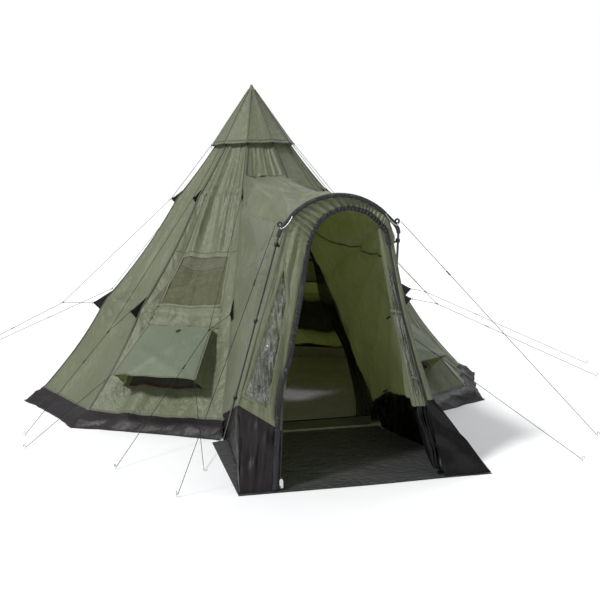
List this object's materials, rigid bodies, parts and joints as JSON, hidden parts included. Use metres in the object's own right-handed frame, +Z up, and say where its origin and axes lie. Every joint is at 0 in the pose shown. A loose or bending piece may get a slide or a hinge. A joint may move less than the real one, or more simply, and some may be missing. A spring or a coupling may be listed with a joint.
{
  "type": "teepee tent",
  "caption": "Ten-sided pyramid tent on a centre pole, with an arched front porch, vented rain cap, ground skirt, hinged vent hoods, guy lines and stakes.",
  "frame": {"origin": "on the ground under the middle of the centre pole, on the underside of the floor sheet", "axes": "+Z up; the porch and its door face -Y; +X is to the right for someone who looks at the door"},
  "size_m": [8.502, 6.9208, 3.5],
  "materials": {
    "olive_canvas": "sage green coated polyester canvas, sunlit to a pale grey-green, seams taped and double stitched",
    "cap_canvas": "sage green coated polyester canvas with a bound hem",
    "black_skirting": "black woven polyethylene with a faint purple-brown sheen, creased",
    "groundsheet_grey": "grey woven polyethylene groundsheet",
    "groundsheet_black": "black woven polyethylene groundsheet",
    "insect_mesh": "fine black insect mesh, gathered in folds",
    "clear_window": "clear PVC window film, silvery and wrinkled",
    "pole_steel": "galvanised steel tube, satin",
    "stake_steel": "galvanised wire, satin",
    "arch_tube": "black coated steel tube inside its cloth sleeve",
    "green_tube": "very dark green powder coat, semi-gloss",
    "black_plastic": "moulded black plastic",
    "white_plastic": "white printed-free plastic tag",
    "black_webbing": "black woven webbing and gathered binding tape",
    "red_trim": "reddish brown binding strip",
    "guy_cord": "dark grey braided cord"
  },
  "bodies": {
    "root": {"wall_panel_1_front": "olive_canvas", "wall_panel_2": "olive_canvas", "wall_panel_3": "olive_canvas", "wall_panel_4": "olive_canvas", "wall_panel_5": "olive_canvas", "wall_panel_6": "olive_canvas", "wall_panel_7": "olive_canvas", "wall_panel_8": "olive_canvas", "wall_panel_9": "olive_canvas", "wall_panel_10": "olive_canvas", "porch_roof": "olive_canvas", "porch_wall_left": "olive_canvas", "porch_wall_right": "olive_canvas", "porch_front_wall": "olive_canvas", "door_threshold": "olive_canvas", "outer_door": "olive_canvas", "rain_cap": "cap_canvas", "sod_skirt": "black_skirting", "porch_skirt_left": "black_skirting", "porch_skirt_right": "black_skirting", "floor_sheet": "groundsheet_grey", "porch_groundsheet": "groundsheet_black", "inner_mesh_door": "insect_mesh", "center_pole_lower": "pole_steel", "center_pole_middle": "pole_steel", "center_pole_upper": "pole_steel", "stake_left": "stake_steel", "stake_left_front": "stake_steel", "stake_front_left": "stake_steel", "stake_front_right": "stake_steel", "stake_right_front": "stake_steel", "stake_right": "stake_steel", "stake_porch_left": "stake_steel", "stake_porch_right": "stake_steel", "stake_hood_outer": "stake_steel", "stake_hood_inner": "stake_steel", "center_pole_foot": "black_plastic", "center_pole_cap": "black_plastic", "porch_elbow_left": "black_plastic", "porch_elbow_right": "black_plastic", "porch_arch_pole": "arch_tube", "porch_leg_left": "green_tube", "porch_leg_right": "green_tube", "guy_line_left_rear": "guy_cord", "guy_line_left": "guy_cord", "guy_line_left_front": "guy_cord", "guy_line_front_left": "guy_cord", "guy_line_front_right": "guy_cord", "guy_line_right_front": "guy_cord", "guy_line_right": "guy_cord", "guy_line_porch_left": "guy_cord", "guy_line_porch_right": "guy_cord", "guy_line_hood_outer": "guy_cord", "guy_line_hood_inner": "guy_cord"},
    "hood_front_left": {"vent_hood_front_left": "olive_canvas"},
    "hood_front_right": {"vent_hood_front_right": "olive_canvas"},
    "hood_rear_left": {"vent_hood_rear_left": "olive_canvas"},
    "hood_rear_right": {"vent_hood_rear_right": "olive_canvas"},
    "zip_slider": {"door_zip_slider": "black_plastic"},
    "zip_tab": {"zip_pull_tab": "white_plastic"}
  },
  "joints": [
    {"name": "hood_front_left_hinge", "type": "hinge", "parent": "root", "child": "hood_front_left", "pos_m": [-1.05123, -1.4469, 0.93466], "axis": [0.809, -0.5878, 0], "range_deg": [0, 16.5]},
    {"name": "hood_front_right_hinge", "type": "hinge", "parent": "root", "child": "hood_front_right", "pos_m": [1.05123, -1.4469, 0.93466], "axis": [0.809, 0.5878, 0], "range_deg": [0, 16.5]},
    {"name": "hood_rear_left_hinge", "type": "hinge", "parent": "root", "child": "hood_rear_left", "pos_m": [-1.05123, 1.4469, 0.93466], "axis": [-0.809, -0.5878, 0], "range_deg": [0, 16.5]},
    {"name": "hood_rear_right_hinge", "type": "hinge", "parent": "root", "child": "hood_rear_right", "pos_m": [1.05123, 1.4469, 0.93466], "axis": [-0.809, 0.5878, 0], "range_deg": [0, 16.5]},
    {"name": "door_zip_travel", "type": "slide", "parent": "root", "child": "zip_slider", "axis": [0.1017, 0.1887, 0.9767], "range_m": [0, 0.59]},
    {"name": "zip_tab_hinge", "type": "hinge", "parent": "zip_slider", "child": "zip_tab", "pos_m": [-0.592, -4.32702, 0.094], "axis": [1, 0, 0], "range_deg": [-150, 0]}
  ]
}
